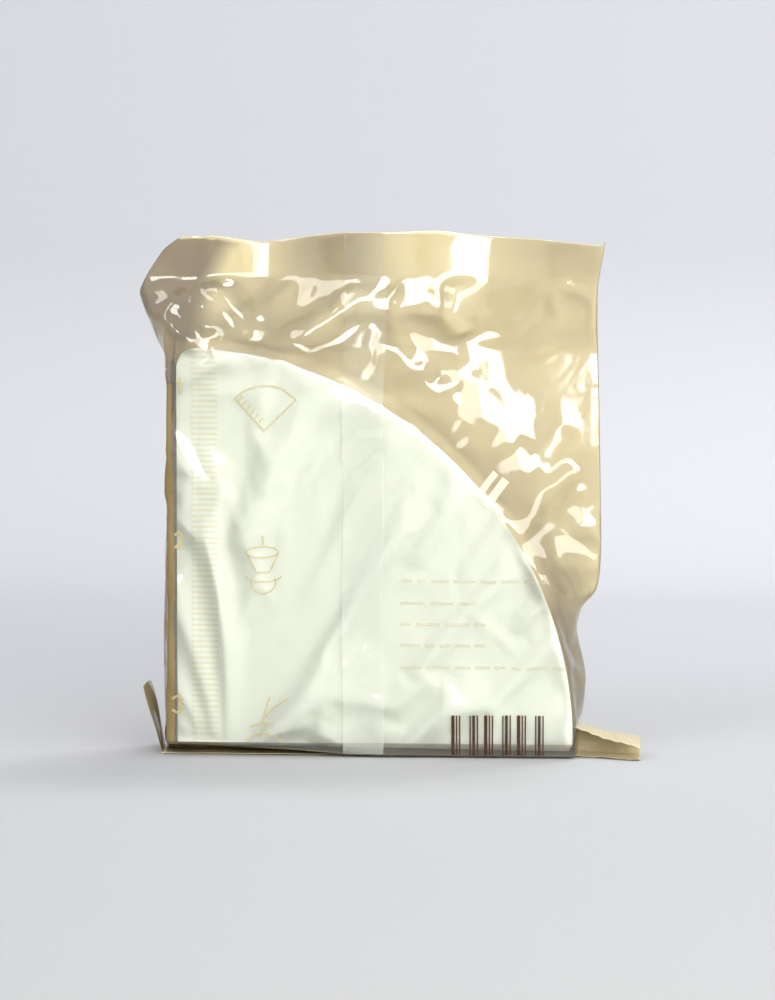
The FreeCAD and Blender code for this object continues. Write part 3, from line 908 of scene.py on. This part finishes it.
LEFT_EAR_HEIGHT, LEFT_EAR_LEAN, LEFT_EAR_TWIST = 22.9, 6.2, 1.8
left_points, left_rows, left_columns = [], 30, 12
for row in range(left_rows + 1):
    share = row / left_rows
    for column in range(left_columns + 1):
        turn = column / left_columns
        sway = LEFT_EAR_TWIST * turn + 0.35 * math.sin(share * 7 + turn * 3)
        x = FIN_LEFT - LEFT_EAR_LEAN * share**1.15 + sway * share
        y = FIN_FRONT + 0.6 + (FIN_BACK - FIN_FRONT - 1.2) * turn
        z = 0.5 + LEFT_EAR_HEIGHT * share - 0.9 * share * (2 * turn - 1) ** 2
        left_points.append((x * MM, y * MM, z * MM))
left_ear = mesh_piece("left_ear", left_points, grid_faces(left_rows + 1, left_columns + 1))
thicken(left_ear, 0.3 * MM)
refine(left_ear)
apply_modifiers(left_ear)
bpy.ops.object.shade_smooth()
# The left ear's film is a darker copy of the ear film: painted shade, as the ear stands edge-on out of the light.
left_ear_shaded_film = printed_film("left_ear_shaded_film", linear(182, 172, 140), linear(156, 144, 110))
left_ear.data.materials.append(left_ear_shaded_film)
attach(left_ear, "root")
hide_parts("bag")

# ---------------------------------------------------------------------------------------------------------------
# The print on the clear side, in thin ink: step numbers and small pictures of a filter, a dripper and a pour,
# rows of plain bars where directions would stand, and a pattern of upright bars by the bottom.

INK_OFF = 0.1
LINE_STEP = 1.0


def ribbon(points, width):
    """A drawn line of even width, as corners and quads in the plane of the film's clear side."""
    fine_line = []
    for (x0, z0), (x1, z1) in zip(points, points[1:]):
        steps = max(1, round(math.hypot(x1 - x0, z1 - z0) / LINE_STEP))
        fine_line += [(x0 + (x1 - x0) * k / steps, z0 + (z1 - z0) * k / steps) for k in range(steps)]
    fine_line.append(points[-1])
    corners = []
    for k, (x, z) in enumerate(fine_line):
        before, after = fine_line[max(k - 1, 0)], fine_line[min(k + 1, len(fine_line) - 1)]
        dx, dz = after[0] - before[0], after[1] - before[1]
        size = math.hypot(dx, dz) or 1
        for side in (-1, 1):
            corners.append((x - side * dz / size * width / 2, z + side * dx / size * width / 2))
    faces = [(2 * k, 2 * k + 2, 2 * k + 3, 2 * k + 1) for k in range(len(fine_line) - 1)]
    return corners, faces


def arc(x, z, radius, start, end, squash=1.0):
    """Points along part of a circle or an ellipse, angles in degrees."""
    steps = max(6, round(abs(end - start) / 10))
    turns = [math.radians(start + (end - start) * k / steps) for k in range(steps + 1)]
    return [(x + radius * math.cos(t), z + radius * squash * math.sin(t)) for t in turns]


def print_on_film(name, lines, material):
    """Prints a set of (points, width) lines on the film as one thin piece."""
    points, faces = [], []
    for line, width in lines:
        corners, quads = ribbon(line, width)
        faces += [tuple(len(points) + k for k in quad) for quad in quads]
        points += [on_film(x, z, INK_OFF) for x, z in corners]
    piece = mesh_piece(name, points, faces)
    piece.data.materials.append(material)
    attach(piece, "root")
    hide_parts("bag")


def ink(name, pale, deep, cover):
    material, tree, shader = new_material(name)
    place = tree.nodes.new("ShaderNodeTexCoord")
    wear = tree.nodes.new("ShaderNodeTexNoise")
    wear.inputs["Scale"].default_value = 1500
    tree.links.new(place.outputs["Object"], wear.inputs["Vector"])
    tree.links.new(two_tone(tree, wear.outputs["Fac"], pale, deep), shader.inputs["Base Color"])
    shader.inputs["Roughness"].default_value = 0.25
    shader.inputs["Alpha"].default_value = cover
    return material


tan_ink = ink("tan_ink", linear(205, 190, 140), linear(190, 172, 118), 0.75)
white_ink = ink("white_ink", linear(246, 242, 226), linear(240, 234, 214), 0.6)
pale_ink = ink("pale_ink", linear(214, 205, 172), linear(200, 190, 152), 0.4)
brown_ink = ink("brown_ink", linear(74, 42, 14), linear(52, 30, 8), 1.0)

# The prints are placed in steps of about a third of a millimetre, counted to the right and down.
STEP_RIGHT, STEP_DOWN = 0.33, 0.3318
MIDDLE_STEP, FLOOR_STEP, FILM_SHIFT = 385, 757, 0.8


def spot(right, down):
    """The place on the clear side, in millimetres, that so many steps to the right and down lead to."""
    return (right - MIDDLE_STEP) * STEP_RIGHT + FILM_SHIFT, (FLOOR_STEP - down) * STEP_DOWN


def run_of(*spots):
    return [spot(*s) for s in spots]


filter_picture = [
    (run_of((236, 400), (265, 432)), 0.5),
    (run_of((265, 432), (297, 401)), 0.5),
    (run_of((236, 400), (246, 392), (258, 388), (270, 387), (283, 390), (297, 401)), 0.5),
] + [(run_of((240 + 4 * k, 402 + 4.4 * k), (244 + 4 * k, 397 + 4.4 * k)), 0.4) for k in range(6)]
dripper_picture = [
    (arc(*spot(263, 552), 5.2, 0, 360, 0.35), 0.45),
    (run_of((248, 553), (257, 572), (270, 572), (279, 553)), 0.45),
    (arc(*spot(264, 576), 5.8, 180, 360, 0.3), 0.45),
    (arc(*spot(264, 582), 4.0, 160, 380, 0.9), 0.45),
    (run_of((264, 535), (264, 545)), 0.45),
]
pour_picture = [
    (run_of((288, 697), (274, 707), (266, 716)), 0.5),
    (run_of((270, 696), (266, 710), (262, 724), (262, 738)), 0.5),
    (run_of((246, 742), (254, 734), (264, 731), (276, 735), (284, 742)), 0.5),
    (run_of((250, 727), (262, 722), (275, 724)), 0.45),
]
print_on_film("step_pictures", filter_picture + dripper_picture + pour_picture, tan_ink)

numerals = [
    (run_of((178, 384), (182, 380), (182, 396)), 0.8),
    (run_of((176, 536), (180, 532), (184, 536), (183, 541), (176, 548), (185, 548)), 0.8),
    (run_of((172, 699), (178, 696), (183, 700), (179, 704), (183, 708), (178, 713), (172, 710)), 0.9),
]
print_on_film("step_numbers", numerals, tan_ink)

draw = np.random.RandomState(11)
WORD_LENGTHS, WORD_GAP, WORD_WIDTH = (9, 26), 5, 0.9
directions = []
for height, end in ((580, 545), (602, 476), (623, 488), (644, 484), (666, 565)):
    place = 400
    while place < end:
        word = min(draw.uniform(*WORD_LENGTHS), end - place)
        directions.append((run_of((place, height), (place + word, height)), WORD_WIDTH))
        place += word + WORD_GAP
print_on_film("direction_bars", directions, pale_ink)

# Each bar's width and the gap after it, over and over.
BARS = ((3.2, 1.4), (1.4, 1.6), (1.4, 9.0), (1.4, 1.4), (2.8, 1.6), (1.4, 6.0))
BARS_LEFT, BARS_RIGHT, BARS_TOP, BARS_FOOT = 451.0, 545, 713, 753
upright, place = [], BARS_LEFT
while place < BARS_RIGHT:
    for wide, gap in BARS:
        centre = place + wide / 2
        upright.append((run_of((centre, BARS_TOP), (centre, BARS_FOOT)), wide * STEP_RIGHT))
        place += wide + gap
print_on_film("upright_bars", upright, brown_ink)

slanted = [(run_of((484, 506), (504, 481)), 2.8), (run_of((475, 497), (494, 474)), 2.2)]
print_on_film("slanted_bars", slanted, white_ink)

# ---------------------------------------------------------------------------------------------------------------
# The studio: a pale sweep that is floor and backdrop in one, its back see-through. A large soft lamp stands by
# the long lens and another further to the right, with a smaller one on the left and one above and behind.

SWEEP_BEND, SWEEP_RISE, SWEEP_COLUMNS = 0.40, 0.14, 9
FLOOR_FRONT, HALF_WIDTH, WALL_HEIGHT = 2.5, 3, 2.4
bpy.ops.object.select_all(action="DESELECT")
bpy.ops.mesh.primitive_grid_add(x_subdivisions=SWEEP_COLUMNS - 1, y_subdivisions=60, size=1)
sweep = bpy.context.object
sweep.name = "studio_sweep"
for number, vertex in enumerate(sweep.data.vertices):
    row = number // SWEEP_COLUMNS
    x = -HALF_WIDTH + 2 * HALF_WIDTH * (number % SWEEP_COLUMNS) / (SWEEP_COLUMNS - 1)
    if row <= 20:
        y, z = -FLOOR_FRONT + (FLOOR_FRONT + SWEEP_BEND) * row / 20, 0.0
    elif row <= 50:
        angle = math.pi / 2 * (row - 20) / 30
        y, z = SWEEP_BEND + SWEEP_RISE * math.sin(angle), SWEEP_RISE * (1 - math.cos(angle))
    else:
        y, z = SWEEP_BEND + SWEEP_RISE, SWEEP_RISE + WALL_HEIGHT * (row - 50) / 10
    vertex.co = (x, y, z)
bpy.ops.object.shade_smooth()
sweep_paint, tree, shader = new_material("studio_paint")
depth = tree.nodes.new("ShaderNodeMapRange")
depth.inputs["From Min"].default_value = -0.7
depth.inputs["From Max"].default_value = 0.45
tree.links.new(own_place(tree)[1], depth.inputs["Value"])
sweep_colour = two_tone(tree, depth.outputs["Result"], linear(201, 202, 207), linear(165, 166, 165))
tree.links.new(sweep_colour, shader.inputs["Base Color"])
shader.inputs["Roughness"].default_value = 0.9
shader.inputs["Specular IOR Level"].default_value = 0.1
side = tree.nodes.new("ShaderNodeNewGeometry")
open_back = tree.nodes.new("ShaderNodeMixShader")
clear_back = tree.nodes.new("ShaderNodeBsdfTransparent")
tree.links.new(side.outputs["Backfacing"], open_back.inputs["Fac"])
tree.links.new(shader.outputs["BSDF"], open_back.inputs[1])
tree.links.new(clear_back.outputs["BSDF"], open_back.inputs[2])
tree.links.new(open_back.outputs["Shader"], tree.nodes["Material Output"].inputs["Surface"])
sweep.data.materials.append(sweep_paint)

world = bpy.data.worlds.new("studio_air")
bpy.context.scene.world = world
world.use_nodes = True
tree = world.node_tree
air = tree.nodes["Background"]
air.inputs["Color"].default_value = linear(236, 236, 240)
air.inputs["Strength"].default_value = 0.62
seen = tree.nodes.new("ShaderNodeBackground")
seen.inputs["Color"].default_value = linear(226, 226, 232)
path = tree.nodes.new("ShaderNodeLightPath")
direct = tree.nodes.new("ShaderNodeMath")
direct.operation = "MAXIMUM"
any_sight = tree.nodes.new("ShaderNodeMath")
any_sight.operation = "MAXIMUM"
tree.links.new(path.outputs["Is Camera Ray"], direct.inputs[0])
tree.links.new(path.outputs["Is Glossy Ray"], direct.inputs[1])
tree.links.new(direct.outputs["Value"], any_sight.inputs[0])
tree.links.new(path.outputs["Is Transmission Ray"], any_sight.inputs[1])
sight = tree.nodes.new("ShaderNodeMixShader")
tree.links.new(any_sight.outputs["Value"], sight.inputs["Fac"])
tree.links.new(air.outputs["Background"], sight.inputs[1])
tree.links.new(seen.outputs["Background"], sight.inputs[2])
tree.links.new(sight.outputs["Shader"], tree.nodes["World Output"].inputs["Surface"])

MIDDLE = Vector((0, 0, 0.08))


def from_middle(azimuth, elevation):
    """A direction by its angles in degrees, to the right of straight in front and above the floor."""
    turn, rise = math.radians(azimuth), math.radians(elevation)
    return Vector((math.sin(turn) * math.cos(rise), -math.cos(turn) * math.cos(rise), math.sin(rise)))


def softbox(name, azimuth, elevation, distance, width, height, watts, colour=(1, 1, 1)):
    lamp = bpy.data.lights.new(name, "AREA")
    lamp.shape = "RECTANGLE"
    lamp.size, lamp.size_y = width, height
    lamp.energy = watts
    lamp.color = colour
    holder = bpy.data.objects.new(name, lamp)
    towards = from_middle(azimuth, elevation)
    holder.location = MIDDLE + towards * distance
    holder.rotation_euler = towards.to_track_quat("Z", "Y").to_euler()
    bpy.context.scene.collection.objects.link(holder)


softbox("large_softbox", 18, 19, 1.3, 0.7, 0.6, 10.8, (1, 1, 0.97))
softbox("side_softbox", 56, 20, 1.2, 0.9, 0.5, 6.0, (1, 1, 0.96))
softbox("left_lamp", -40, 40, 1.3, 0.6, 0.6, 4.4, (1, 0.99, 0.97))
softbox("top_lamp", 150, 62, 1.2, 0.5, 0.4, 9.0)

camera = bpy.data.cameras.new("long_lens")
eye = bpy.data.objects.new("long_lens", camera)
bpy.context.scene.collection.objects.link(eye)
bpy.context.scene.camera = eye
LENS_DISTANCE, FRAME_HEIGHT, SENSOR = 1.5, 0.33, 36
aim = Vector((0.0008, 0, 0.0838))
back = from_middle(3, 6)
eye.location = aim + back * LENS_DISTANCE
eye.rotation_euler = (-back).to_track_quat("-Z", "Y").to_euler()
camera.sensor_width = SENSOR
camera.lens = SENSOR * LENS_DISTANCE / FRAME_HEIGHT
camera.clip_end = 20
camera.dof.use_dof = False

bpy.context.scene.view_settings.view_transform = "Standard"
